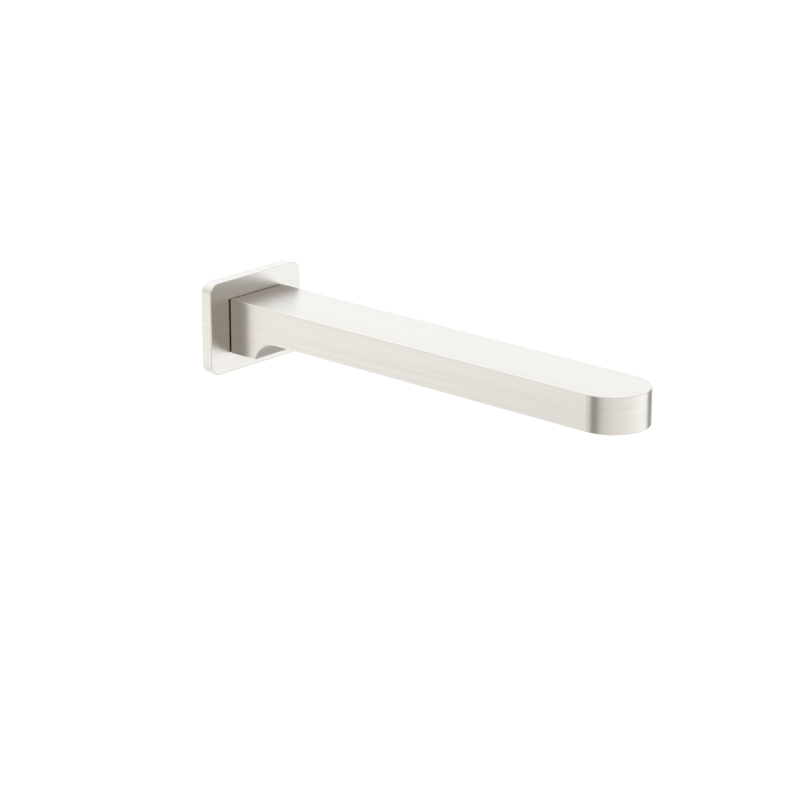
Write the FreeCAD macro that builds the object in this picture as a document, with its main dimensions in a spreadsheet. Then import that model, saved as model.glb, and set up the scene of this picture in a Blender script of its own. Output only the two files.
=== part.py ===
import FreeCAD, Part
import math
import os

import Sketcher

# Wall-mounted bath spout with a rounded rectangular cover plate.
#
# Row frame: millimetres, +Z up, the finished wall is the plane Y = 0 and the spout
# reaches out along -Y. The origin is where the axis of the inlet thread meets the wall.
#
# The spout body is a one-piece brass casting: a flat bar with a half-round nose, and a
# deeper foot at the wall that holds the socket for the inlet nipple. The nipple is
# screwed into the wall first, the cover plate and gasket slide over it, and the spout is
# pushed on and locked by a grub screw from below. A cartridge aerator is screwed into
# the underside of the nose.

# name, value in millimetres (or a count, or degrees), what it is
DIMENSIONS = [
    ("plate_width", 60.0, "cover plate, side to side"),
    ("plate_height", 45.0, "cover plate, bottom to top"),
    ("plate_depth", 6.0, "wall to the front of the cover plate"),
    ("plate_corner", 5.5, "corner radius of the cover plate"),
    ("plate_rim", 4.0, "width of the rim that meets the wall"),
    ("plate_recess", 3.5, "depth of the hollow in the back of the plate"),
    ("boss_radius", 13.5, "boss round the hole in the back of the plate"),
    ("plate_bore", 10.6, "radius of the hole in the plate"),
    ("edge_break", 0.4, "rounding of the outside edges"),
    ("end_break", 0.2, "rounding of the spout's wall end"),
    ("band_width", 4.0, "width of the foam wall gasket"),
    ("seam_gap", 0.5, "shadow gap between plate and spout"),
    ("seam_inset", 1.0, "how far the seam gasket sits back from the spout's sides"),
    ("spout_width", 35.0, "spout, side to side"),
    ("spout_reach", 220.0, "wall to the centre of the outlet"),
    ("bar_height", 17.0, "height of the bar"),
    ("foot_height", 26.4, "height of the foot at the wall"),
    ("foot_front", 22.0, "wall to the front of the foot's underside"),
    ("sweep_end", 35.3, "wall to where the foot's sweep runs into the bar"),
    ("side_wall", 4.0, "casting wall at the sides"),
    ("flat_wall", 3.0, "casting wall above and below the waterway"),
    ("ramp_start", 198.0, "wall to where the waterway's floor starts to rise"),
    ("ramp_end", 205.0, "wall to where the waterway's floor is level again"),
    ("duct_floor", 5.6, "height of the waterway's floor over the outlet"),
    ("socket_radius", 8.6, "bore that takes the nipple's spigot"),
    ("socket_end", 21.6, "wall to the bottom of the socket"),
    ("throat_radius", 6.0, "opening from the socket to the waterway"),
    ("throat_end", 26.5, "wall to the tip of the throat's drill point"),
    ("thread_radius", 10.4775, "G 1/2 male thread, major radius"),
    ("thread_length", 13.5, "G 1/2 male thread, length behind the wall"),
    ("collar_radius", 10.2, "plain collar of the nipple"),
    ("collar_end", 6.3, "wall to the front of the collar"),
    ("spigot_radius", 8.5, "spigot of the nipple"),
    ("spigot_end", 21.3, "wall to the front of the spigot"),
    ("nipple_bore", 5.0, "radius of the waterway through the nipple"),
    ("key_depth", 10.0, "depth of the hexagon for the fitting key"),
    ("ring_floor", 7.05, "radius at the bottom of the O-ring grooves"),
    ("ring_groove", 2.4, "width of the O-ring grooves"),
    ("rear_ring", 15.5, "wall to the middle of the rear O-ring"),
    ("front_ring", 18.9, "wall to the middle of the front O-ring"),
    ("ring_width", 2.0, "O-ring along the axis, squeezed"),
    ("squeeze_gap", 0.01, "what is left between a squeezed seal and its walls"),
    ("plate_ring_groove", 11.9, "radius at the bottom of the plate's O-ring groove"),
    ("plate_ring", 3.6, "wall to the middle of the plate's O-ring"),
    ("screw_radius", 2.45, "M5 grub screw"),
    ("screw_hole", 2.5, "M5 thread in the foot"),
    ("screw_place", 11.0, "wall to the axis of the grub screw"),
    ("screw_tip", 8.1, "tip of the grub screw below the inlet axis"),
    ("screw_end", 13.1, "socket end of the grub screw below the inlet axis"),
    ("screw_key", 2.5, "hexagon across flats of the grub screw's socket"),
    ("notch_depth", 0.8, "locking groove in the spigot"),
    ("notch_half", 1.2, "half the width of the locking groove"),
    ("pocket_radius", 12.0, "M24 thread for the aerator, radius"),
    ("pocket_top", 4.7, "ledge that the aerator's washer seals on"),
    ("ledge_radius", 8.9, "opening through the ledge"),
    ("housing_radius", 11.95, "aerator housing, outside"),
    ("housing_bore", 10.2, "aerator housing, inside"),
    ("housing_lip", 8.9, "opening in the aerator's face"),
    ("housing_low", -3.5, "face of the aerator"),
    ("housing_top", 3.0, "top of the aerator housing"),
    ("lip_height", 0.8, "thickness of the lip round the aerator's face"),
    ("key_slots", 8.0, "slots for the aerator key"),
    ("insert_radius", 10.1, "discs inside the aerator"),
    ("grid_top", -1.2, "top of the honeycomb"),
    ("net_top", -0.6, "top of the fine grid"),
    ("core_top", 1.6, "top of the mixing insert"),
    ("cell_flats", 2.0, "honeycomb cell, across flats"),
    ("cell_wall", 0.4, "wall between honeycomb cells"),
    ("net_hole", 0.55, "radius of the holes in the fine grid"),
    ("net_pitch", 1.6, "spacing of the rings of holes in the fine grid"),
    ("washer_outer", 11.6, "aerator washer, outside radius"),
    ("washer_inner", 8.9, "aerator washer, inside radius"),
    ("strainer_radius", 8.6, "foot of the dome strainer"),
    ("strainer_rise", 3.9, "height of the dome strainer"),
    ("strainer_wall", 0.5, "thickness of the dome strainer"),
]


class Size:
    """A number that remembers the spreadsheet formula that it comes from."""

    def __init__(self, value, formula):
        self.value = value
        self.formula = formula

    def __add__(self, other):
        return Size(self.value + size(other).value, f"({self.formula} + {size(other).formula})")

    def __sub__(self, other):
        return Size(self.value - size(other).value, f"({self.formula} - {size(other).formula})")

    def __mul__(self, factor):
        return Size(self.value * factor, f"({self.formula} * {factor})")

    def __truediv__(self, divisor):
        return Size(self.value / divisor, f"({self.formula} / {divisor})")

    def __neg__(self):
        return Size(-self.value, f"(-1 * {self.formula})")


def size(value):
    """A plain number as a Size; a Size as it is."""
    return value if isinstance(value, Size) else Size(float(value), f"{float(value)}")


def make_sheet(doc):
    """Writes the driving dimensions to a spreadsheet and returns them as Sizes."""
    sheet = doc.addObject("Spreadsheet::Sheet", "dims")
    sizes = {}
    for row, (alias, value, meaning) in enumerate(DIMENSIONS, start=1):
        sheet.set(f"A{row}", alias)
        sheet.set(f"B{row}", str(value))
        sheet.set(f"C{row}", meaning)
        sheet.setAlias(f"B{row}", alias)
        sizes[alias] = Size(value, f"dims.{alias}")
    doc.recompute()
    return sizes


doc = FreeCAD.newDocument("bath_spout")
D = make_sheet(doc)

# heights and places that several pieces share
spout_top = D["foot_height"] / 2
bar_bottom = D["foot_height"] / 2 - D["bar_height"]
foot_bottom = -(D["foot_height"] / 2)
spout_back = D["plate_depth"] + D["seam_gap"]
channel_floor = bar_bottom + D["flat_wall"]
channel_roof = spout_top - D["flat_wall"]
SIN_30 = 0.5
COS_30 = math.sqrt(3) / 2


# ---------------------------------------------------------------- helpers

def bind(obj, **properties):
    """Sets each property to a number or to a formula of the sheet's cells."""
    for name, value in properties.items():
        obj.setExpression(name, size(value).formula)


def place(obj, x=0, y=0, z=0):
    """Binds where an object stands to formulas of the sheet's cells."""
    for axis, value in zip("xyz", (x, y, z)):
        if size(value).value:
            obj.setExpression(f"Placement.Base.{axis}", size(value).formula)


def new_body(label):
    body = doc.addObject("PartDesign::Body", label)
    body.Label = label
    return body


def origin_feature(body, role):
    return next(f for f in body.Origin.OriginFeatures if f.Role == role)


def new_sketch(body, role, name, offset=0):
    """A sketch on one of the body's own origin planes, moved along the plane's normal."""
    sketch = body.newObject("Sketcher::SketchObject", f"{body.Label}_{name}")
    sketch.AttachmentSupport = [(origin_feature(body, role), "")]
    sketch.MapMode = "FlatFace"
    if size(offset).value:
        sketch.setExpression("AttachmentOffset.Base.z", size(offset).formula)
    return sketch


def fix_point(sketch, geometry, vertex, x, y):
    """Ties a sketch point to the origin at (x, y)."""
    if x.value:
        index = sketch.addConstraint(Sketcher.Constraint("DistanceX", -1, 1, geometry, vertex, x.value))
        sketch.setExpression(f"Constraints[{index}]", x.formula)
    else:
        sketch.addConstraint(Sketcher.Constraint("PointOnObject", geometry, vertex, -2))
    if y.value:
        index = sketch.addConstraint(Sketcher.Constraint("DistanceY", -1, 1, geometry, vertex, y.value))
        sketch.setExpression(f"Constraints[{index}]", y.formula)
    else:
        sketch.addConstraint(Sketcher.Constraint("PointOnObject", geometry, vertex, -1))


def fix_radius(sketch, geometry, radius):
    index = sketch.addConstraint(Sketcher.Constraint("Radius", geometry, radius.value))
    sketch.setExpression(f"Constraints[{index}]", radius.formula)


def add_polygon(sketch, points):
    """A closed outline of straight lines through points of Sizes."""
    points = [(size(x), size(y)) for x, y in points]
    spots = [FreeCAD.Vector(x.value, y.value, 0) for x, y in points]
    lines = [sketch.addGeometry(Part.LineSegment(a, b)) for a, b in zip(spots, spots[1:] + spots[:1])]
    for line, following in zip(lines, lines[1:] + lines[:1]):
        sketch.addConstraint(Sketcher.Constraint("Coincident", line, 2, following, 1))
    for line, (x, y) in zip(lines, points):
        fix_point(sketch, line, 1, x, y)
    return lines


def add_circle(sketch, radius, x=0, y=0):
    x, y, radius = size(x), size(y), size(radius)
    centre = FreeCAD.Vector(x.value, y.value, 0)
    circle = sketch.addGeometry(Part.Circle(centre, FreeCAD.Vector(0, 0, 1), radius.value))
    fix_point(sketch, circle, 3, x, y)
    fix_radius(sketch, circle, radius)


def add_arc(sketch, centre, start, end):
    """An arc anticlockwise from start to end; all three are points of Sizes."""
    middle = FreeCAD.Vector(size(centre[0]).value, size(centre[1]).value, 0)
    first = FreeCAD.Vector(size(start[0]).value, size(start[1]).value, 0) - middle
    last = FreeCAD.Vector(size(end[0]).value, size(end[1]).value, 0) - middle
    circle = Part.Circle(middle, FreeCAD.Vector(0, 0, 1), first.Length)
    return sketch.addGeometry(
        Part.ArcOfCircle(circle, math.atan2(first.y, first.x), math.atan2(last.y, last.x)))


def add_rounded_rectangle(sketch, width, height, radius):
    """A rectangle centred on the origin with round corners."""
    width, height, radius = size(width), size(height), size(radius)
    half_w, half_h, r = width.value / 2, height.value / 2, radius.value
    corners = [(1, 1), (-1, 1), (-1, -1), (1, -1)]
    arcs = []
    for quarter, (sx, sy) in enumerate(corners):
        centre = FreeCAD.Vector(sx * (half_w - r), sy * (half_h - r), 0)
        circle = Part.Circle(centre, FreeCAD.Vector(0, 0, 1), r)
        arcs.append(sketch.addGeometry(
            Part.ArcOfCircle(circle, quarter * math.pi / 2, (quarter + 1) * math.pi / 2)))
    directions = ("Horizontal", "Vertical", "Horizontal", None)
    for arc, following, direction in zip(arcs, arcs[1:] + arcs[:1], directions):
        line = sketch.addGeometry(Part.LineSegment(
            sketch.Geometry[arc].EndPoint, sketch.Geometry[following].StartPoint))
        sketch.addConstraint(Sketcher.Constraint("Tangent", arc, 2, line, 1))
        sketch.addConstraint(Sketcher.Constraint("Tangent", line, 2, following, 1))
        if direction:
            sketch.addConstraint(Sketcher.Constraint(direction, line))
    for arc, (sx, sy) in zip(arcs, corners):
        fix_point(sketch, arc, 3, (width / 2 - radius) * sx, (height / 2 - radius) * sy)
    fix_radius(sketch, arcs[0], radius)


def check_sketch(sketch):
    """A sketch has to be solved before it is used."""
    if sketch.solve() != 0:
        raise RuntimeError(f"{sketch.Label} is not solved")


def pad(body, sketch, length, midplane=False):
    check_sketch(sketch)
    feature = body.newObject("PartDesign::Pad", f"{sketch.Name}_pad")
    feature.Profile = sketch
    bind(feature, Length=length)
    if midplane:
        feature.SideType = "Symmetric"
    doc.recompute()
    return feature


def pocket(body, sketch, length, midplane=False, reversed_=False):
    """Cuts the sketch through the body; a cut that takes nothing away is an error."""
    check_sketch(sketch)
    before = body.Shape.Volume
    feature = body.newObject("PartDesign::Pocket", f"{sketch.Name}_pocket")
    feature.Profile = sketch
    bind(feature, Length=length)
    if midplane:
        feature.SideType = "Symmetric"
    feature.Reversed = reversed_
    doc.recompute()
    if body.Shape.Volume >= before:
        raise RuntimeError(f"{feature.Label} cuts nothing")
    return feature


def revolve(body, sketch, axis):
    check_sketch(sketch)
    feature = body.newObject("PartDesign::Revolution", f"{sketch.Name}_turned")
    feature.Profile = sketch
    feature.ReferenceAxis = (sketch, [axis])
    feature.Angle = 360
    doc.recompute()
    return feature


def groove(body, sketch, axis):
    check_sketch(sketch)
    before = body.Shape.Volume
    feature = body.newObject("PartDesign::Groove", f"{sketch.Name}_groove")
    feature.Profile = sketch
    feature.ReferenceAxis = (sketch, [axis])
    feature.Angle = 360
    doc.recompute()
    if body.Shape.Volume >= before:
        raise RuntimeError(f"{feature.Label} cuts nothing")
    return feature


def repeat_round(body, feature, count):
    """Repeats a feature round the body's own Z axis."""
    pattern = body.newObject("PartDesign::PolarPattern", f"{feature.Name}_ring")
    pattern.Originals = [feature]
    pattern.Axis = (origin_feature(body, "Z_Axis"), [""])
    pattern.Angle = 360
    pattern.Occurrences = int(size(count).value)
    body.Tip = pattern
    doc.recompute()
    return pattern


def round_edges(body, feature, radius, wanted):
    """Rounds the edges of a feature that the function wanted() picks."""
    names = [f"Edge{i}" for i, edge in enumerate(feature.Shape.Edges, start=1) if wanted(edge)]
    fillet = body.newObject("PartDesign::Fillet", f"{feature.Name}_edges")
    fillet.Base = (feature, names)
    bind(fillet, Radius=radius)
    doc.recompute()
    if not names or fillet.Shape.Volume >= feature.Shape.Volume:
        raise RuntimeError(f"{fillet.Label} rounds nothing")
    return fillet


def near(a, b):
    return abs(a - b) < 1e-4


def turned_about_y(label, outline):
    """A body turned about the inlet axis; the outline is (distance from wall, radius)."""
    body = new_body(label)
    sketch = new_sketch(body, "YZ_Plane", "outline")
    add_polygon(sketch, [(-size(along), radius) for along, radius in outline])
    revolve(body, sketch, "H_Axis")
    return body


def turned_about_z(label, outline):
    """A body turned about the outlet axis; the outline is (radius, height)."""
    body = new_body(label)
    sketch = new_sketch(body, "XZ_Plane", "outline")
    add_polygon(sketch, outline)
    revolve(body, sketch, "V_Axis")
    place(body, y=-D["spout_reach"])
    return body


# ---------------------------------------------------------------- wall side

def make_cover_plate():
    """The visible plate: a hollow-backed rounded rectangle with a boss and an O-ring groove."""
    body = new_body("cover_plate")
    outline = new_sketch(body, "XZ_Plane", "outline")
    add_rounded_rectangle(outline, D["plate_width"], D["plate_height"], D["plate_corner"])
    block = pad(body, outline, D["plate_depth"])
    front = -D["plate_depth"].value
    round_edges(body, block, D["edge_break"], lambda edge: near(edge.BoundBox.YMin, front)
                and near(edge.BoundBox.YMax, front))

    recess = new_sketch(body, "XZ_Plane", "recess")
    add_rounded_rectangle(recess, D["plate_width"] - D["plate_rim"] * 2,
                          D["plate_height"] - D["plate_rim"] * 2, 2)
    add_circle(recess, D["boss_radius"])
    pocket(body, recess, D["plate_recess"], reversed_=True)

    bore = new_sketch(body, "XZ_Plane", "bore")
    add_circle(bore, D["plate_bore"])
    pocket(body, bore, D["plate_depth"], reversed_=True)

    seat = new_sketch(body, "YZ_Plane", "ring_seat")
    low = -(D["plate_ring"] + D["ring_groove"] / 2)
    high = -(D["plate_ring"] - D["ring_groove"] / 2)
    inner = D["plate_bore"] - 1
    add_polygon(seat, [(low, inner), (high, inner),
                       (high, D["plate_ring_groove"]), (low, D["plate_ring_groove"])])
    groove(body, seat, "H_Axis")
    return body


def make_wall_gasket():
    """Foam strip in the rim of the plate, pressed flush with the wall."""
    body = new_body("wall_gasket")
    outline = new_sketch(body, "XZ_Plane", "outline")
    width = D["plate_width"] - D["plate_rim"] * 2
    height = D["plate_height"] - D["plate_rim"] * 2
    add_rounded_rectangle(outline, width, height, 2)
    add_rounded_rectangle(outline, width - D["band_width"] * 2, height - D["band_width"] * 2, 1)
    pad(body, outline, D["plate_recess"])
    return body


def make_inlet_nipple():
    """Threaded into the wall: thread, collar, and a spigot with two ring grooves and a notch."""
    half_groove = D["ring_groove"] / 2
    chamfer = 0.8
    outline = [
        (-D["thread_length"], D["nipple_bore"]),
        (-D["thread_length"], D["thread_radius"] - 1),
        (-D["thread_length"] + 1, D["thread_radius"]),
        (0, D["thread_radius"]),
        (0, D["collar_radius"]),
        (D["collar_end"], D["collar_radius"]),
        (D["collar_end"], D["spigot_radius"]),
        (D["screw_place"] - D["notch_half"], D["spigot_radius"]),
        (D["screw_place"], D["spigot_radius"] - D["notch_depth"]),
        (D["screw_place"] + D["notch_half"], D["spigot_radius"]),
    ]
    for middle in (D["rear_ring"], D["front_ring"]):
        outline += [
            (middle - half_groove, D["spigot_radius"]),
            (middle - half_groove, D["ring_floor"]),
            (middle + half_groove, D["ring_floor"]),
            (middle + half_groove, D["spigot_radius"]),
        ]
    outline += [
        (D["spigot_end"] - chamfer, D["spigot_radius"]),
        (D["spigot_end"], D["spigot_radius"] - chamfer),
        (D["spigot_end"], D["nipple_bore"]),
    ]
    body = turned_about_y("inlet_nipple", outline)
    socket = new_sketch(body, "XZ_Plane", "key", offset=D["spigot_end"])
    add_polygon(socket, hexagon(D["nipple_bore"] * 2))
    pocket(body, socket, D["key_depth"])
    return body


def hexagon(across_flats, x=0, y=0):
    """Corner points of a hexagon with two flats parallel to the second axis."""
    corner = size(across_flats) / (2 * COS_30)
    half = size(across_flats) / 2
    x, y = size(x), size(y)
    return [(x + half, y + corner * SIN_30), (x, y + corner), (x - half, y + corner * SIN_30),
            (x - half, y - corner * SIN_30), (x, y - corner), (x + half, y - corner * SIN_30)]


def make_squeezed_ring(label, middle, inside, outside):
    """An O-ring about the inlet axis, flattened where it touches: two flats and two round sides."""
    body = new_body(label)
    sketch = new_sketch(body, "YZ_Plane", "section")
    inside = inside + D["squeeze_gap"]
    outside = outside - D["squeeze_gap"]
    radius = (outside - inside) / 2
    centre = (inside + outside) / 2
    half_flat = D["ring_width"] / 2 - radius
    left, right = -middle - half_flat, -middle + half_flat
    right_arc = add_arc(sketch, (right, centre), (right, inside), (right, outside))
    left_arc = add_arc(sketch, (left, centre), (left, outside), (left, inside))
    ends = [(right_arc, left_arc, outside), (left_arc, right_arc, inside)]
    for first, second, height in ends:
        line = sketch.addGeometry(Part.LineSegment(
            sketch.Geometry[first].EndPoint, sketch.Geometry[second].StartPoint))
        sketch.addConstraint(Sketcher.Constraint("Tangent", first, 2, line, 1))
        sketch.addConstraint(Sketcher.Constraint("Tangent", line, 2, second, 1))
    fix_point(sketch, right_arc, 3, right, centre)
    fix_point(sketch, left_arc, 3, left, centre)
    sketch.addConstraint(Sketcher.Constraint("Equal", right_arc, left_arc))
    fix_radius(sketch, right_arc, radius)
    revolve(body, sketch, "H_Axis")
    return body


def make_spout_gasket():
    """Black gasket in the shadow gap between the plate and the spout."""
    body = new_body("spout_gasket")
    outline = new_sketch(body, "XZ_Plane", "outline", offset=D["plate_depth"])
    add_rounded_rectangle(outline, D["spout_width"] - D["seam_inset"] * 2,
                          D["foot_height"] - D["seam_inset"] * 2, 1)
    add_circle(outline, D["plate_bore"])
    pad(body, outline, D["seam_gap"])
    return body


# ---------------------------------------------------------------- spout

def make_spout_body():
    """The casting: bar, nose and foot, with the waterway, socket, screw hole and outlet."""
    body = new_body("spout_body")
    half = D["spout_width"] / 2
    back = -spout_back
    nose = -D["spout_reach"]

    plan = new_sketch(body, "XY_Plane", "plan", offset=bar_bottom)
    add_nosed_strip(plan, half, back, nose)
    pad(body, plan, D["bar_height"])

    side = new_sketch(body, "YZ_Plane", "foot")
    add_foot(side, back)
    foot = pad(body, side, D["spout_width"], midplane=True)
    outside = round_edges(body, foot, D["edge_break"], is_outside_edge)
    round_edges(body, outside, D["end_break"], is_wall_end_edge)

    side_cut = new_sketch(body, "YZ_Plane", "waterway")
    socket_end = -D["socket_end"]
    add_polygon(side_cut, [
        (socket_end, channel_floor), (socket_end, channel_roof), (nose, channel_roof),
        (nose, D["duct_floor"]), (-D["ramp_end"], D["duct_floor"]), (-D["ramp_start"], channel_floor),
    ])
    pocket(body, side_cut, D["spout_width"] - D["side_wall"] * 2, midplane=True)

    end_cut = new_sketch(body, "XY_Plane", "waterway_end", offset=D["duct_floor"])
    add_circle(end_cut, half - D["side_wall"], 0, nose)
    pocket(body, end_cut, channel_roof - D["duct_floor"], reversed_=True)

    socket = new_sketch(body, "YZ_Plane", "socket")
    lead = 0.5
    add_polygon(socket, [
        (back, 0), (back, D["socket_radius"] + lead), (back - lead, D["socket_radius"]),
        (socket_end, D["socket_radius"]), (socket_end, D["throat_radius"]),
        (socket_end - 1.2, D["throat_radius"]), (-D["throat_end"], D["throat_radius"] / 2),
        (-D["throat_end"], 0),
    ])
    groove(body, socket, "H_Axis")

    screw = new_sketch(body, "XY_Plane", "screw_hole", offset=foot_bottom)
    add_circle(screw, D["screw_hole"], 0, -D["screw_place"])
    pocket(body, screw, D["foot_height"] / 2 - D["socket_radius"] + 1, reversed_=True)

    outlet = new_sketch(body, "XY_Plane", "outlet", offset=bar_bottom)
    add_circle(outlet, D["pocket_radius"], 0, nose)
    pocket(body, outlet, D["pocket_top"] - bar_bottom, reversed_=True)

    ledge = new_sketch(body, "XY_Plane", "ledge", offset=D["pocket_top"])
    add_circle(ledge, D["ledge_radius"], 0, nose)
    pocket(body, ledge, D["duct_floor"] - D["pocket_top"], reversed_=True)
    return body


def add_nosed_strip(sketch, half, back, nose):
    """A strip from back to nose with a half-round end, seen from above."""
    arc = add_arc(sketch, (0, nose), (-half, nose), (half, nose))
    spots = [(half, nose), (half, back), (-half, back), (-half, nose)]
    spots = [(size(x), size(y)) for x, y in spots]
    vectors = [FreeCAD.Vector(x.value, y.value, 0) for x, y in spots]
    lines = [sketch.addGeometry(Part.LineSegment(a, b)) for a, b in zip(vectors, vectors[1:])]
    sketch.addConstraint(Sketcher.Constraint("Tangent", arc, 2, lines[0], 1))
    sketch.addConstraint(Sketcher.Constraint("Coincident", lines[0], 2, lines[1], 1))
    sketch.addConstraint(Sketcher.Constraint("Coincident", lines[1], 2, lines[2], 1))
    sketch.addConstraint(Sketcher.Constraint("Tangent", lines[2], 2, arc, 1))
    fix_point(sketch, lines[1], 1, *spots[1])
    fix_point(sketch, lines[2], 1, *spots[2])
    fix_point(sketch, arc, 3, size(0), size(nose))
    fix_radius(sketch, arc, half)


def add_foot(sketch, back):
    """The foot from the side: a block whose front sweeps up into the bar.

    The sweep is one arc, tangent to the bar's underside and leaning at the foot's lower corner.
    """
    overlap = 1.0
    step = D["foot_height"].value - D["bar_height"].value
    run = D["sweep_end"].value - D["foot_front"].value
    sweep_radius = (step ** 2 + run ** 2) / (2 * step)
    centre = (-D["sweep_end"], bar_bottom - sweep_radius)
    corner = (-D["foot_front"], foot_bottom)
    end = (-D["sweep_end"], bar_bottom)
    spots = [end, (end[0], bar_bottom + overlap), (back, bar_bottom + overlap), (back, foot_bottom), corner]
    vectors = [FreeCAD.Vector(x.value, y.value, 0) for x, y in spots]
    lines = [sketch.addGeometry(Part.LineSegment(a, b)) for a, b in zip(vectors, vectors[1:])]
    arc = add_arc(sketch, centre, corner, end)
    for first, second in zip(lines, lines[1:]):
        sketch.addConstraint(Sketcher.Constraint("Coincident", first, 2, second, 1))
    sketch.addConstraint(Sketcher.Constraint("Coincident", lines[-1], 2, arc, 1))
    sketch.addConstraint(Sketcher.Constraint("Coincident", arc, 2, lines[0], 1))
    for line, spot in zip(lines, spots):
        fix_point(sketch, line, 1, *spot)
    fix_point(sketch, lines[-1], 2, *corner)
    sketch.addConstraint(Sketcher.Constraint("Vertical", arc, 3, arc, 2))


def is_wall_end_edge(edge):
    """The outline edges of the face that looks at the plate."""
    box = edge.BoundBox
    return near(box.YMin, -spout_back.value) and near(box.YMax, -spout_back.value)


def is_outside_edge(edge):
    """The outline edges of the top, the underside and the foot of the spout, apart from the wall end."""
    box = edge.BoundBox
    half = D["spout_width"].value / 2
    top, bottom = spout_top.value, foot_bottom.value
    in_top = near(box.ZMin, top) and near(box.ZMax, top)
    in_foot_bottom = near(box.ZMin, bottom) and near(box.ZMax, bottom)
    in_side = near(box.XMin, box.XMax) and near(abs(box.XMin), half)
    under_bar = near(box.ZMin, bar_bottom.value) and near(box.ZMax, bar_bottom.value)
    nose_line = near(box.ZMin, bar_bottom.value) and near(box.ZMax, top)
    across_arc = under_bar and near(box.YMin, box.YMax)
    wanted = in_top or in_foot_bottom or in_side or under_bar
    return wanted and not is_wall_end_edge(edge) and not nose_line and not across_arc


def make_grub_screw():
    """Cone-point set screw with a hexagon socket, from below."""
    body = new_body("grub_screw")
    sketch = new_sketch(body, "XZ_Plane", "outline")
    tip, end, radius = -D["screw_tip"], -D["screw_end"], D["screw_radius"]
    flat = 0.2
    chamfer = 0.4
    add_polygon(sketch, [
        (0, end), (radius - chamfer, end), (radius, end + chamfer),
        (radius, tip - radius + flat), (flat, tip), (0, tip),
    ])
    revolve(body, sketch, "V_Axis")
    socket = new_sketch(body, "XY_Plane", "socket", offset=end)
    add_polygon(socket, hexagon(D["screw_key"]))
    pocket(body, socket, D["screw_key"], reversed_=True)
    place(body, y=-D["screw_place"])
    return body


# ---------------------------------------------------------------- aerator

def make_aerator_housing():
    """Screws into the nose: a ring with an inner lip and slots in its face for the key."""
    chamfer = 0.5
    body = turned_about_z("aerator_housing", [
        (D["housing_lip"], D["housing_low"]),
        (D["housing_radius"] - chamfer, D["housing_low"]),
        (D["housing_radius"], D["housing_low"] + chamfer),
        (D["housing_radius"], D["housing_top"]),
        (D["housing_bore"], D["housing_top"]),
        (D["housing_bore"], D["housing_low"] + D["lip_height"]),
        (D["housing_lip"], D["housing_low"] + D["lip_height"]),
    ])
    slot = new_sketch(body, "XY_Plane", "key_slot", offset=D["housing_low"])
    half_width = 0.9
    reach_in, reach_out = D["housing_lip"] + 0.7, D["housing_radius"] - 0.7
    add_polygon(slot, [(reach_in, -half_width), (reach_out, -half_width),
                       (reach_out, half_width), (reach_in, half_width)])
    cut = pocket(body, slot, D["lip_height"] - 0.1, reversed_=True)
    repeat_round(body, cut, D["key_slots"])
    return body


def make_disc(label, bottom, top):
    """A plain disc that fits inside the aerator housing."""
    body = new_body(label)
    sketch = new_sketch(body, "XY_Plane", "disc", offset=bottom)
    add_circle(sketch, D["insert_radius"])
    pad(body, sketch, top - bottom)
    place(body, y=-D["spout_reach"])
    return body


def make_aerator_honeycomb():
    """The face that the water leaves through: hexagonal cells in rings round a middle cell."""
    bottom = D["housing_low"] + D["lip_height"]
    body = make_disc("aerator_honeycomb", bottom, D["grid_top"])
    pitch = D["cell_flats"] + D["cell_wall"]
    depth = D["grid_top"] - bottom
    middle = new_sketch(body, "XY_Plane", "cell", offset=bottom)
    add_polygon(middle, hexagon(D["cell_flats"]))
    pocket(body, middle, depth, reversed_=True)
    for ring in (1, 2, 3):
        for step in range(ring):
            cell = new_sketch(body, "XY_Plane", f"cell_{ring}_{step}", offset=bottom)
            x = pitch * (ring - step / 2)
            y = pitch * (step * COS_30)
            add_polygon(cell, hexagon(D["cell_flats"], x, y))
            repeat_round(body, pocket(body, cell, depth, reversed_=True), 6)
    return body


def make_aerator_fine_grid():
    """A disc of small holes that smooths the stream above the honeycomb."""
    body = make_disc("aerator_fine_grid", D["grid_top"], D["net_top"])
    depth = D["net_top"] - D["grid_top"]
    for ring in (1, 2, 3, 4, 5):
        hole = new_sketch(body, "XY_Plane", f"hole_{ring}", offset=D["grid_top"])
        add_circle(hole, D["net_hole"], D["net_pitch"] * ring, 0)
        repeat_round(body, pocket(body, hole, depth, reversed_=True), 6 * ring)
    return body


def make_aerator_core():
    """The mixing insert: an outer ring and a cone on four ribs that spread the jets."""
    bottom, top = D["net_top"], D["core_top"]
    ring = D["insert_radius"] - 1.1
    cone = 4.5
    body = turned_about_z("aerator_core", [
        (ring, bottom), (D["insert_radius"], bottom), (D["insert_radius"], top), (ring, top)])
    rib = new_sketch(body, "XY_Plane", "rib", offset=bottom)
    half_rib, root = 0.5, 0.3
    add_polygon(rib, [(-ring - root, -half_rib), (ring + root, -half_rib),
                      (ring + root, half_rib), (-ring - root, half_rib)])
    first = pad(body, rib, (top - bottom) / 2)
    repeat_round(body, first, 4)
    hub = new_sketch(body, "XZ_Plane", "cone")
    add_polygon(hub, [(0, bottom), (cone, bottom), (cone, bottom + 0.6), (1, top - 0.1), (0, top - 0.1)])
    revolve(body, hub, "V_Axis")
    return body


def make_aerator_jet_plate():
    """The disc that turns the flow into fine jets: two rings of holes."""
    body = make_disc("aerator_jet_plate", D["core_top"], D["housing_top"])
    for ring_radius, hole_radius, count in ((7.4, 0.6, 24), (5.4, 0.6, 18)):
        sketch = new_sketch(body, "XY_Plane", f"hole{count}", offset=D["core_top"])
        add_circle(sketch, hole_radius, ring_radius, 0)
        hole = pocket(body, sketch, D["housing_top"] - D["core_top"], reversed_=True)
        repeat_round(body, hole, count)
    return body


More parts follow.
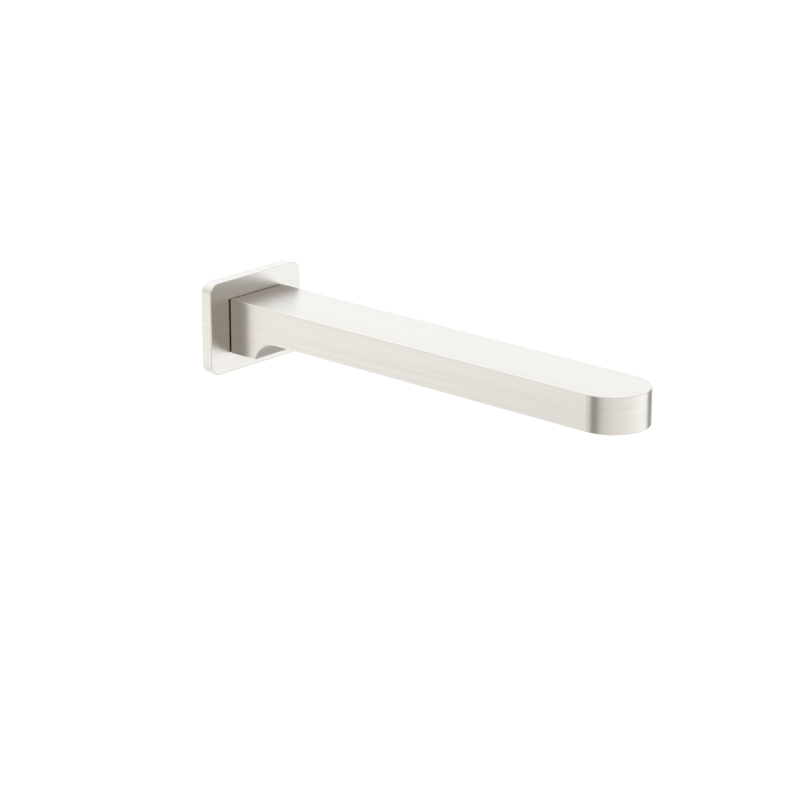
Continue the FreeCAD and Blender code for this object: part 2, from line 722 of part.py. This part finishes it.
def make_aerator_washer():
    """Flat rubber ring between the cartridge and the ledge in the nose."""
    outer, inner = D["washer_outer"], D["washer_inner"]
    return turned_about_z("aerator_washer", [
        (inner, D["housing_top"]), (outer, D["housing_top"]),
        (outer, D["pocket_top"]), (inner, D["pocket_top"])])


def make_aerator_strainer():
    """Dome of slots that keeps grit out of the jet plate."""
    base, foot, wall = D["housing_top"], D["strainer_radius"], D["strainer_wall"]
    top = base + D["strainer_rise"]
    shoulder = 1.6
    crown = 3.0
    body = turned_about_z("aerator_strainer", [
        (foot - 1.4, base), (foot, base), (foot, base + 0.8), (foot - 0.5, base + 0.8),
        (foot - shoulder, base + 2.4), (crown, top), (0, top), (0, top - wall),
        (crown - 0.2, top - wall), (foot - shoulder - wall, base + 2.1),
        (foot - 1.4, base + 0.8),
    ])
    slot = new_sketch(body, "XY_Plane", "slot", offset=base + 0.8)
    half_slot = 0.4
    add_polygon(slot, [(crown - 0.6, -half_slot), (foot - 0.6, -half_slot),
                       (foot - 0.6, half_slot), (crown - 0.6, half_slot)])
    cut = pocket(body, slot, D["strainer_rise"] - 0.9, reversed_=True)
    repeat_round(body, cut, 16)
    return body


# ---------------------------------------------------------------- build and write

def main():
    parts = [
        make_cover_plate(),
        make_wall_gasket(),
        make_inlet_nipple(),
        make_squeezed_ring("plate_o_ring", D["plate_ring"], D["collar_radius"], D["plate_ring_groove"]),
        make_squeezed_ring("nipple_o_ring_rear", D["rear_ring"], D["ring_floor"], D["socket_radius"]),
        make_squeezed_ring("nipple_o_ring_front", D["front_ring"], D["ring_floor"], D["socket_radius"]),
        make_spout_gasket(),
        make_spout_body(),
        make_grub_screw(),
        make_aerator_housing(),
        make_aerator_honeycomb(),
        make_aerator_fine_grid(),
        make_aerator_core(),
        make_aerator_jet_plate(),
        make_aerator_washer(),
        make_aerator_strainer(),
    ]
    doc.recompute()
    for obj in doc.Objects:
        if "Invalid" in obj.State or "Error" in obj.State:
            raise RuntimeError(f"{obj.Label} failed: {obj.State}")
    os.makedirs("parts", exist_ok=True)
    for part in parts:
        shape = part.Shape
        if shape.isNull() or not shape.isValid():
            raise RuntimeError(f"{part.Label} has no valid shape")
        shape.exportStep(f"parts/{part.Label}.step")
        box = shape.optimalBoundingBox(False)
        print(f"{part.Label}: {len(shape.Solids)} solid, {shape.Volume:.1f} mm3, "
              f"Y {box.YMin:.2f} to {box.YMax:.2f}, Z {box.ZMin:.2f} to {box.ZMax:.2f}")


main()
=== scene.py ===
import math

import bmesh
import bpy
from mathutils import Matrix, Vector


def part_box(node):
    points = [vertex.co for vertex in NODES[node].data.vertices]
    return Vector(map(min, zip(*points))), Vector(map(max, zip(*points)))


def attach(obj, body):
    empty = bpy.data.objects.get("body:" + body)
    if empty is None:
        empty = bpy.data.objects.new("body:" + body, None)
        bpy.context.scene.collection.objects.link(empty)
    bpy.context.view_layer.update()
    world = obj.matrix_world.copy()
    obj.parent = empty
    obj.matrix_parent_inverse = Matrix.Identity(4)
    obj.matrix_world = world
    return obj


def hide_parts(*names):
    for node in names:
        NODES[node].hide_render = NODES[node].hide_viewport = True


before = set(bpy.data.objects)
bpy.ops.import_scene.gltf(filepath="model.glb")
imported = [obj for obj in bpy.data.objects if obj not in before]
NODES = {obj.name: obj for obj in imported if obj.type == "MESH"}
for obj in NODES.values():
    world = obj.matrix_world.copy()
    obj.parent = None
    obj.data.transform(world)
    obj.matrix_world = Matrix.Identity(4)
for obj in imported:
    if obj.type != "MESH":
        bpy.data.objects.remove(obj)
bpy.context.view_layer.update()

# A wall-mounted bath spout in brushed nickel, in a soft white studio. Three pieces of the CAD are
# replaced by meshes with real threads; every other piece is the CAD mesh with a material.

MM = 0.001
X_AXIS, Y_AXIS, Z_AXIS = (1.0, 0.0, 0.0), (0.0, 1.0, 0.0), (0.0, 0.0, 1.0)
FULL_TURN = 2 * math.pi


# ---------------------------------------------------------------- node helpers

class Graph:
    """Short calls for building a node tree."""

    def __init__(self, tree):
        self.tree = tree
        tree.nodes.clear()

    def node(self, kind, **settings):
        node = self.tree.nodes.new(kind)
        for name, value in settings.items():
            setattr(node, name, value)
        return node

    def feed(self, socket, value):
        """Links a socket, or sets the input's own value to a number or colour."""
        if isinstance(value, bpy.types.NodeSocket):
            self.tree.links.new(value, socket)
        else:
            socket.default_value = value

    def math(self, operation, a, b=None):
        node = self.node("ShaderNodeMath", operation=operation)
        self.feed(node.inputs[0], a)
        if b is not None:
            self.feed(node.inputs[1], b)
        return node.outputs[0]

    def vector(self, operation, a, b=None):
        node = self.node("ShaderNodeVectorMath", operation=operation)
        self.feed(node.inputs[0], a)
        if b is not None:
            self.feed(node.inputs[1], b)
        return node.outputs["Value" if operation == "DOT_PRODUCT" else "Vector"]

    def separate(self, vector):
        node = self.node("ShaderNodeSeparateXYZ")
        self.feed(node.inputs[0], vector)
        return node.outputs

    def mix(self, factor, a, b, kind):
        """A blend from a to b; kind is VECTOR or RGBA."""
        node = self.node("ShaderNodeMix", data_type=kind)
        first, second, result = {"VECTOR": (4, 5, 1), "RGBA": (6, 7, 2)}[kind]
        self.feed(node.inputs[0], factor)
        self.feed(node.inputs[first], a)
        self.feed(node.inputs[second], b)
        return node.outputs[result]

    def remap(self, value, low, high, to_low=0.0, to_high=1.0, smooth=False):
        kind = "SMOOTHSTEP" if smooth else "LINEAR"
        node = self.node("ShaderNodeMapRange", interpolation_type=kind)
        for index, item in enumerate((value, low, high, to_low, to_high)):
            self.feed(node.inputs[index], item)
        return node.outputs[0]

    def noise(self, vector, scale=1.0, detail=2.0, roughness=0.5):
        node = self.node("ShaderNodeTexNoise")
        self.feed(node.inputs["Vector"], vector)
        node.inputs["Scale"].default_value = scale
        node.inputs["Detail"].default_value = detail
        node.inputs["Roughness"].default_value = roughness
        return node.outputs["Fac"]

    def ramp(self, value, stops):
        """A linear ramp through (position, colour) stops."""
        node = self.node("ShaderNodeValToRGB")
        node.color_ramp.interpolation = "LINEAR"
        elements = node.color_ramp.elements
        while len(elements) < len(stops):
            elements.new(0.5)
        for element, (position, colour) in zip(elements, stops):
            element.position = position
            element.color = colour
        self.feed(node.inputs[0], value)
        return node.outputs["Color"]

    def blend(self, value, dark, light):
        """A linear ramp from one colour to another."""
        return self.ramp(value, [(0.0, dark), (1.0, light)])

    def bump(self, height, strength, distance):
        node = self.node("ShaderNodeBump")
        node.inputs["Strength"].default_value = strength
        node.inputs["Distance"].default_value = distance
        self.feed(node.inputs["Height"], height)
        return node.outputs[0]


def new_material(name):
    material = bpy.data.materials.new(name)
    material.use_nodes = True
    graph = Graph(material.node_tree)
    shader = graph.node("ShaderNodeBsdfPrincipled")
    output = graph.node("ShaderNodeOutputMaterial")
    graph.feed(output.inputs["Surface"], shader.outputs[0])
    return material, graph, shader


# ---------------------------------------------------------------- materials

def brushed_nickel(name, flat_grain, axis, grain_along_axis=False):
    """Warm grey nickel with long brushed grain.

    The faces square to axis have their grain along flat_grain. Every other face has its grain
    running round the axis, or along it.
    """
    dull, bright = (0.380, 0.355, 0.319, 1.0), (0.424, 0.397, 0.358, 1.0)
    dull_roughness, bright_roughness = 0.315, 0.285
    material, g, shader = new_material(name)
    place = g.node("ShaderNodeTexCoord").outputs["Object"]
    normal = g.node("ShaderNodeNewGeometry").outputs["Normal"]
    facing = g.math("ABSOLUTE", g.vector("DOT_PRODUCT", normal, axis))
    is_flat = g.remap(facing, 0.55, 0.85, smooth=True)
    side_grain = axis if grain_along_axis else g.vector("CROSS_PRODUCT", axis, normal)
    grain = g.vector("NORMALIZE", g.mix(is_flat, side_grain, flat_grain, "VECTOR"))

    # on a side face the streaks are long in every direction that its grain can take
    across_flat = Vector(flat_grain).cross(Vector(axis))
    short_on_side = [(abs(part) > 0.5) != grain_along_axis for part in axis]
    short_on_flat = [abs(part) > 0.5 for part in across_flat]

    def streaks(width, length, detail):
        scales = [tuple(1 / (width if short else length) for short in shorts)
                  for shorts in (short_on_side, short_on_flat)]
        stretched = g.vector("MULTIPLY", place, g.mix(is_flat, *scales, "VECTOR"))
        return g.noise(stretched, detail=detail)

    fine = streaks(0.40 * MM, 110 * MM, 2.0)
    broad = streaks(1.8 * MM, 260 * MM, 1.0)
    both = g.math("ADD", g.math("MULTIPLY", fine, 0.5), g.math("MULTIPLY", broad, 0.5))
    tone = g.remap(both, 0.3, 0.7)
    g.feed(shader.inputs["Base Color"], g.blend(tone, dull, bright))
    shader.inputs["Metallic"].default_value = 1.0
    g.feed(shader.inputs["Roughness"], g.remap(tone, 0.0, 1.0, dull_roughness, bright_roughness))
    shader.inputs["Anisotropic"].default_value = 0.60
    g.feed(shader.inputs["Tangent"], g.vector("CROSS_PRODUCT", grain, normal))
    g.feed(shader.inputs["Normal"], g.bump(fine, 0.015, 0.02 * MM))
    return material


def turned_metal(name, dark, light, axis, roughness):
    """Machined bar stock: fine rings round an axis, a little dulled."""
    ring_width, ring_length = 0.25 * MM, 9 * MM
    material, g, shader = new_material(name)
    place = g.node("ShaderNodeTexCoord").outputs["Object"]
    scale = tuple(1 / (ring_width if part else ring_length) for part in axis)
    rings = g.noise(g.vector("MULTIPLY", place, scale), detail=3.0, roughness=0.6)
    stain = g.noise(place, scale=260.0, detail=4.0, roughness=0.6)
    tone = g.math("ADD", g.math("MULTIPLY", rings, 0.55), g.math("MULTIPLY", stain, 0.45))
    g.feed(shader.inputs["Base Color"], g.blend(g.remap(tone, 0.32, 0.7), dark, light))
    shader.inputs["Metallic"].default_value = 1.0
    dulled = g.remap(stain, 0.3, 0.7, roughness + 0.08, roughness - 0.06)
    g.feed(shader.inputs["Roughness"], dulled)
    g.feed(shader.inputs["Normal"], g.bump(rings, 0.25, 0.02 * MM))
    return material


def rubber(name, tint, cell, depth):
    """Matt black rubber or foam; cell is the size of its surface texture."""
    bloomed = tuple(min(1.0, part * 2.2) for part in tint[:3]) + (1.0,)
    material, g, shader = new_material(name)
    place = g.node("ShaderNodeTexCoord").outputs["Object"]
    cells = g.node("ShaderNodeTexVoronoi", feature="SMOOTH_F1")
    g.feed(cells.inputs["Vector"], place)
    cells.inputs["Scale"].default_value = 1 / cell
    bloom = g.noise(place, scale=180.0, detail=3.0)
    g.feed(shader.inputs["Base Color"], g.blend(g.remap(bloom, 0.3, 0.75), tint, bloomed))
    g.feed(shader.inputs["Roughness"], g.remap(bloom, 0.3, 0.7, 0.62, 0.78))
    shader.inputs["Specular IOR Level"].default_value = 0.35
    g.feed(shader.inputs["Normal"], g.bump(cells.outputs["Distance"], 0.5, depth))
    return material


def moulded_plastic(name, dark, light, roughness):
    """Moulded acetal: faint flow marks, fine spark-eroded texture, slight translucency."""
    scatter = 0.4 * MM
    material, g, shader = new_material(name)
    place = g.node("ShaderNodeTexCoord").outputs["Object"]
    flow = g.noise(place, scale=140.0, detail=3.0, roughness=0.55)
    grit = g.noise(place, scale=5200.0, detail=2.0)
    g.feed(shader.inputs["Base Color"], g.blend(g.remap(flow, 0.3, 0.7), dark, light))
    gritty = g.remap(grit, 0.3, 0.7, roughness - 0.06, roughness + 0.08)
    g.feed(shader.inputs["Roughness"], gritty)
    shader.inputs["Subsurface Weight"].default_value = 0.08
    shader.inputs["Subsurface Radius"].default_value = (scatter, scatter, scatter)
    g.feed(shader.inputs["Normal"], g.bump(grit, 0.2, 0.01 * MM))
    return material


# ---------------------------------------------------------------- threaded pieces

MERGE_DISTANCE = 0.002 * MM
SHARP_ANGLE = math.radians(38)


def grid_mesh(name, rings):
    """A closed mesh through rings of points: every ring is closed, the last joins the first."""
    mesh = bpy.data.meshes.new(name)
    bm = bmesh.new()
    rows = [[bm.verts.new(point) for point in ring] for ring in rings]
    count = len(rows[0])
    for one, other in zip(rows, rows[1:] + rows[:1]):
        for i in range(count):
            j = (i + 1) % count
            bm.faces.new((one[i], one[j], other[j], other[i]))
    bmesh.ops.remove_doubles(bm, verts=bm.verts, dist=MERGE_DISTANCE)
    loose = [edge for edge in bm.edges if not edge.link_faces]
    bmesh.ops.delete(bm, geom=loose, context="EDGES")
    bmesh.ops.recalc_face_normals(bm, faces=bm.faces)
    for face in bm.faces:
        face.smooth = True
    for edge in bm.edges:
        edge.smooth = edge.calc_face_angle(0.0) < SHARP_ANGLE
    bm.to_mesh(mesh)
    bm.free()
    piece = bpy.data.objects.new(name, mesh)
    bpy.context.scene.collection.objects.link(piece)
    return piece


def even_angles(count):
    return [FULL_TURN * i / count for i in range(count)]


def thread_radius(crest, depth, turns):
    """Radius on a rounded thread after a number of turns past a crest."""
    return crest - depth * (0.5 - 0.5 * math.cos(FULL_TURN * turns))


def hexagon_radius(half_flats, angle):
    """Distance from the centre of a hexagon to its edge."""
    return half_flats / math.cos((angle + math.pi / 6) % (math.pi / 3) - math.pi / 6)


def steps(start, end, stride):
    """Evenly spaced numbers from start to end."""
    count = math.ceil(abs(end - start) / stride)
    return [start + (end - start) * i / count for i in range(count + 1)]


def make_threaded_nipple():
    """The inlet nipple: G 1/2 thread, collar and grooved spigot, with a hexagon and bore inside."""
    low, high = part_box("inlet_nipple")
    tail, tip, crest = high.y, low.y, high.x
    pitch, depth, runout, thread_chamfer = 1.814 * MM, 1.162 * MM, 0.7 * MM, 1.0 * MM
    collar, collar_end, spigot, tip_chamfer = 10.2 * MM, -6.3 * MM, 8.5 * MM, 0.8 * MM
    notch, notch_half, notch_depth = -11.0 * MM, 1.2 * MM, 0.8 * MM
    groove_floor, groove_half, grooves = 7.05 * MM, 1.2 * MM, (-15.5 * MM, -18.9 * MM)
    bore, key_bottom = 5.0 * MM, tip + 10 * MM
    angles = even_angles(96)

    def ring(y, reach):
        return [(r * math.cos(a), y, r * math.sin(a)) for a, r in zip(angles, reach)]

    def round_ring(y, radius):
        return ring(y, [radius] * len(angles))

    def thread_ring(y):
        cut = depth * min(1.0, max(0.0, (y - runout) / pitch))
        cone = crest - thread_chamfer + (tail - y)
        return ring(y, [min(cone, thread_radius(crest, cut, y / pitch + a / FULL_TURN))
                        for a in angles])

    outline = [
        (0.0, crest), (0.0, collar), (collar_end, collar), (collar_end, spigot),
        (notch + notch_half, spigot), (notch, spigot - notch_depth), (notch - notch_half, spigot),
    ]
    for groove in grooves:
        near, far = groove + groove_half, groove - groove_half
        outline += [(near, spigot), (near, groove_floor), (far, groove_floor), (far, spigot)]
    outline += [(tip + tip_chamfer, spigot), (tip, spigot - tip_chamfer)]

    hexagon = [hexagon_radius(bore, a) for a in angles]
    rings = [thread_ring(y) for y in steps(tail, runout, pitch / 14)]
    rings += [round_ring(y, radius) for y, radius in outline]
    rings += [ring(tip, hexagon), ring(key_bottom, hexagon)]
    rings += [round_ring(key_bottom, bore), round_ring(tail, bore)]
    piece = grid_mesh("threaded_nipple", rings)
    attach(piece, "spout")
    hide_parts("inlet_nipple")
    return piece


def make_threaded_screw():
    """The M5 grub screw: coarse thread, cone point upwards and hexagon socket below."""
    low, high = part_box("grub_screw")
    middle = (low + high) / 2
    crest = high.x
    pitch, depth, chamfer, flat = 0.8 * MM, 0.43 * MM, 0.4 * MM, 0.2 * MM
    socket, socket_top, shoulder = 1.25 * MM, low.z + 2.5 * MM, high.z - crest + flat
    angles = even_angles(48)

    def ring(z, reach):
        return [(middle.x + r * math.cos(a), middle.y + r * math.sin(a), z)
                for a, r in zip(angles, reach)]

    def thread_ring(z):
        cone = crest - max(0.0, low.z + chamfer - z) - max(0.0, z - shoulder)
        return ring(z, [min(cone, thread_radius(crest, depth, z / pitch - a / FULL_TURN))
                        for a in angles])

    hexagon = [hexagon_radius(socket, a) for a in angles]
    centre = [0.0] * len(angles)
    rings = [ring(socket_top, centre), ring(socket_top, hexagon), ring(low.z, hexagon)]
    rings += [thread_ring(z) for z in steps(low.z, high.z, pitch / 12)]
    rings.append(ring(high.z, centre))
    piece = grid_mesh("threaded_screw", rings)
    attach(piece, "grub_screw")
    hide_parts("grub_screw")
    return piece


def make_threaded_housing():
    """The aerator housing with its M24 x 1 thread, inner lip and eight key slots."""
    low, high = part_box("aerator_housing")
    middle = (low + high) / 2
    crest = high.x
    pitch, depth, chamfer = 1.0 * MM, 0.58 * MM, 0.5 * MM
    fade_in, fade_out = 0.6 * pitch, 0.3 * pitch
    lip, bore, lip_top = 8.9 * MM, 10.2 * MM, low.z + 0.8 * MM
    slot_in, slot_out, slot_half, slot_floor = 9.6 * MM, 11.25 * MM, 0.9 * MM, low.z + 0.7 * MM
    slot_spacing, column_step, columns_a_slot = 45, 3.75, 12

    # columns round the ring: (degrees, side of a slot's edge or 0, whether it is in the slot)
    columns = []
    for slot in range(0, 360, slot_spacing):
        columns += [(slot, -1, False), (slot, -1, True)]
        columns += [(slot + column_step * i, 0, True) for i in (-1, 0, 1)]
        columns += [(slot, 1, True), (slot, 1, False)]
        columns += [(slot + column_step * i, 0, False) for i in range(2, columns_a_slot - 1)]

    def angle(column, radius):
        degrees, side, _ = column
        at = min(max(radius, slot_in), slot_out)
        return math.radians(degrees) + side * math.asin(slot_half / at)

    def ring(radius, z, floor=None):
        """A flat ring; with a floor, its points in the slots are at the floor's height."""
        points = []
        for column in columns:
            a = angle(column, radius)
            height = floor if floor is not None and column[2] else z
            x, y = radius * math.cos(a), radius * math.sin(a)
            points.append((middle.x + x, middle.y + y, height))
        return points

    def thread_ring(z):
        cut = depth * min(1.0, (z - low.z - chamfer) / fade_in, (high.z - z) / fade_out)
        points = []
        for column in columns:
            a = angle(column, crest)
            r = thread_radius(crest, cut, z / pitch - a / FULL_TURN)
            points.append((middle.x + r * math.cos(a), middle.y + r * math.sin(a), z))
        return points

    rings = [
        ring(lip, lip_top), ring(lip, low.z), ring(slot_in, low.z),
        ring(slot_in, low.z, slot_floor), ring(slot_out, low.z, slot_floor),
        ring(slot_out, low.z), ring(crest - chamfer, low.z),
    ]
    rings += [thread_ring(z) for z in steps(low.z + chamfer, high.z, pitch / 12)]
    rings += [ring(bore, high.z), ring(bore, lip_top)]
    piece = grid_mesh("threaded_housing", rings)
    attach(piece, "aerator")
    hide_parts("aerator_housing")
    return piece


def make_spout():
    """Gives every CAD node its material and adds the three threaded pieces."""
    nickel_spout = brushed_nickel("brushed_nickel_spout", Y_AXIS, Z_AXIS)
    nickel_plate = brushed_nickel("brushed_nickel_plate", X_AXIS, Y_AXIS, grain_along_axis=True)
    brass = turned_metal(
        "turned_brass", (0.27, 0.185, 0.075, 1.0), (0.40, 0.29, 0.13, 1.0), Y_AXIS, 0.30)
    steel = turned_metal(
        "stainless_screw", (0.36, 0.36, 0.36, 1.0), (0.55, 0.55, 0.54, 1.0), Z_AXIS, 0.28)
    black = rubber("black_rubber", (0.012, 0.012, 0.012, 1.0), 0.25 * MM, 0.02 * MM)
    foam = rubber("black_foam", (0.020, 0.020, 0.021, 1.0), 0.55 * MM, 0.12 * MM)
    grey = moulded_plastic(
        "grey_plastic", (0.27, 0.28, 0.29, 1.0), (0.33, 0.34, 0.35, 1.0), 0.38)
    white = moulded_plastic(
        "white_plastic", (0.70, 0.70, 0.68, 1.0), (0.78, 0.78, 0.76, 1.0), 0.36)
    paint = {
        "spout_body": nickel_spout,
        "cover_plate": nickel_plate,
        "inlet_nipple": brass,
        "grub_screw": steel,
        "spout_gasket": black,
        "plate_o_ring": black,
        "nipple_o_ring_rear": black,
        "nipple_o_ring_front": black,
        "aerator_washer": black,
        "wall_gasket": foam,
        "aerator_housing": grey,
        "aerator_honeycomb": white,
        "aerator_fine_grid": white,
        "aerator_core": white,
        "aerator_jet_plate": white,
        "aerator_strainer": white,
    }
    for node, material in paint.items():
        for slot in NODES[node].material_slots:
            slot.material = material
    make_threaded_nipple().data.materials.append(brass)
    make_threaded_screw().data.materials.append(steel)
    make_threaded_housing().data.materials.append(grey)


# ---------------------------------------------------------------- studio

FLOOR_RADIUS, FLOOR_HEIGHT, FLOOR_GLOW = 9.0, -1.3, 0.35
PALE, PALER = (0.90, 0.90, 0.90, 1.0), (0.92, 0.92, 0.92, 1.0)
WHITE, SOFT_WHITE = (1.0, 1.0, 1.0, 1.0), (0.85, 0.85, 0.85, 1.0)

CAMERA_AZIMUTH, CAMERA_ELEVATION = -47.931, 18.264
CAMERA_TARGET, CAMERA_DISTANCE = (0.03935, -0.06232, -0.03808), 1.4487
CAMERA_LENS, CAMERA_SENSOR = 137.07, 36.0

# what the metal reflects, by direction: (degrees anticlockwise from +X, brightness, coolness)
LOW_RING = [
    (0, 0.62, -0.3), (6, 0.62, -0.3), (30, 1.60, 1), (60, 1.90, 1), (110, 2.37, 1),
    (133, 2.38, 0.9), (144, 1.90, 0.9), (153, 1.80, 0.5), (160, 0.43, -1.2), (173, 0.43, -1.2),
    (188, 1.38, -0.4), (200, 1.70, 0.1), (222, 2.0, 0.4), (244, 2.11, 0.6), (268, 2.25, 0.9),
    (295, 2.46, 1.45), (318, 2.50, 1.65), (338, 2.26, 1.2), (347, 0.62, -0.3), (360, 0.62, -0.3),
]
HIGH_RING = [
    (0, 1.66, 1), (20, 1.98, 1.1), (42, 1.93, 1.35), (70, 1.95, 1.35), (110, 1.9, 1),
    (140, 1.6, 0.8), (180, 0.9, 0), (222, 0.75, -0.3), (270, 0.95, 0), (300, 1.35, 0),
    (318, 1.45, 0), (340, 1.5, 0.4), (360, 1.66, 1),
]
GROUND_RING = [
    (0, 0.86, 0), (22, 0.86, 0), (42, 1.2, 0.5), (64, 1.9, 1), (110, 2.0, 1), (160, 1.8, 0.8),
    (200, 1.7, 0.5), (270, 1.5, 0.5), (320, 1.2, 0.3), (340, 0.86, 0), (360, 0.86, 0),
]
CEILING, ZENITH, NADIR = (2.45, 1.35), (1.75, 0.7), (1.85, 0.8)

# where each part of the surround takes over, as the height of a direction of unit length
HIGH_RING_FROM, HIGH_RING_TO = -0.10, 0.22
CEILING_FROM, CEILING_TO = 0.36, 0.66
ZENITH_FROM, ZENITH_TO = 0.84, 0.96
GROUND_FROM, GROUND_TO = -0.42, -0.60
NADIR_FROM, NADIR_TO = -0.80, -0.92


def lit(brightness, coolness):
    """The colour of a light: coolness 0 is neutral and 1 is a little blue."""
    green, blue = 1 + 0.03 * coolness, 1 + 0.07 * coolness
    return (brightness, brightness * green, brightness * blue, 1.0)


def make_floor():
    """A plain pale floor, well below the wall fitting, that the metal doesn't reflect."""
    mesh = bpy.data.meshes.new("floor")
    bm = bmesh.new()
    bmesh.ops.create_circle(bm, cap_ends=True, radius=FLOOR_RADIUS, segments=96)
    bm.to_mesh(mesh)
    bm.free()
    floor = bpy.data.objects.new("floor", mesh)
    floor.location = (0.0, 0.0, FLOOR_HEIGHT)
    floor.visible_glossy = False
    bpy.context.scene.collection.objects.link(floor)
    material, g, shader = new_material("floor_white")
    place = g.node("ShaderNodeTexCoord").outputs["Object"]
    mottle = g.noise(place, scale=1.2, detail=2.0)
    g.feed(shader.inputs["Base Color"], g.blend(mottle, PALE, PALER))
    shader.inputs["Roughness"].default_value = 1.0
    shader.inputs["Specular IOR Level"].default_value = 0.0
    shader.inputs["Emission Color"].default_value = WHITE
    shader.inputs["Emission Strength"].default_value = FLOOR_GLOW
    mesh.materials.append(material)


def make_world():
    """Soft studio surround: bright walls with darker gaps, a pale ceiling and a dim ground."""
    world = bpy.data.worlds.new("studio")
    bpy.context.scene.world = world
    world.use_nodes = True
    g = Graph(world.node_tree)
    x, y, z = g.separate(g.node("ShaderNodeTexCoord").outputs["Generated"])
    turn = g.math("FRACT", g.math("DIVIDE", g.math("ARCTAN2", y, x), FULL_TURN))
    ground, low, high = (
        g.ramp(turn, [(degrees / 360, lit(*value)) for degrees, *value in ring])
        for ring in (GROUND_RING, LOW_RING, HIGH_RING))

    surround = low
    for start, end, colour in (
            (HIGH_RING_FROM, HIGH_RING_TO, high),
            (CEILING_FROM, CEILING_TO, lit(*CEILING)),
            (ZENITH_FROM, ZENITH_TO, lit(*ZENITH)),
            (GROUND_FROM, GROUND_TO, ground),
            (NADIR_FROM, NADIR_TO, lit(*NADIR))):
        surround = g.mix(g.remap(z, start, end, smooth=True), surround, colour, "RGBA")

    # the surround is what glossy rays see; other rays see plain soft white
    path = g.node("ShaderNodeLightPath")
    soft = g.mix(path.outputs["Is Glossy Ray"], SOFT_WHITE, surround, "RGBA")
    seen = g.mix(path.outputs["Is Camera Ray"], soft, WHITE, "RGBA")
    background = g.node("ShaderNodeBackground")
    g.feed(background.inputs["Color"], seen)
    output = g.node("ShaderNodeOutputWorld")
    g.feed(output.inputs["Surface"], background.outputs[0])


def make_camera():
    """A long lens from the front left and above."""
    azimuth, elevation = math.radians(CAMERA_AZIMUTH), math.radians(CAMERA_ELEVATION)
    back = Vector((math.sin(azimuth) * math.cos(elevation),
                   -math.cos(azimuth) * math.cos(elevation), math.sin(elevation)))
    data = bpy.data.cameras.new("camera")
    data.sensor_width = CAMERA_SENSOR
    data.lens = CAMERA_LENS
    data.clip_start = 0.05
    data.clip_end = 50.0
    camera = bpy.data.objects.new("camera", data)
    camera.rotation_mode = "QUATERNION"
    camera.rotation_quaternion = (-back).to_track_quat("-Z", "Y")
    camera.location = Vector(CAMERA_TARGET) + back * CAMERA_DISTANCE
    bpy.context.scene.collection.objects.link(camera)
    bpy.context.scene.camera = camera


bpy.context.scene.view_settings.view_transform = "Standard"
make_spout()
make_floor()
make_world()
make_camera()
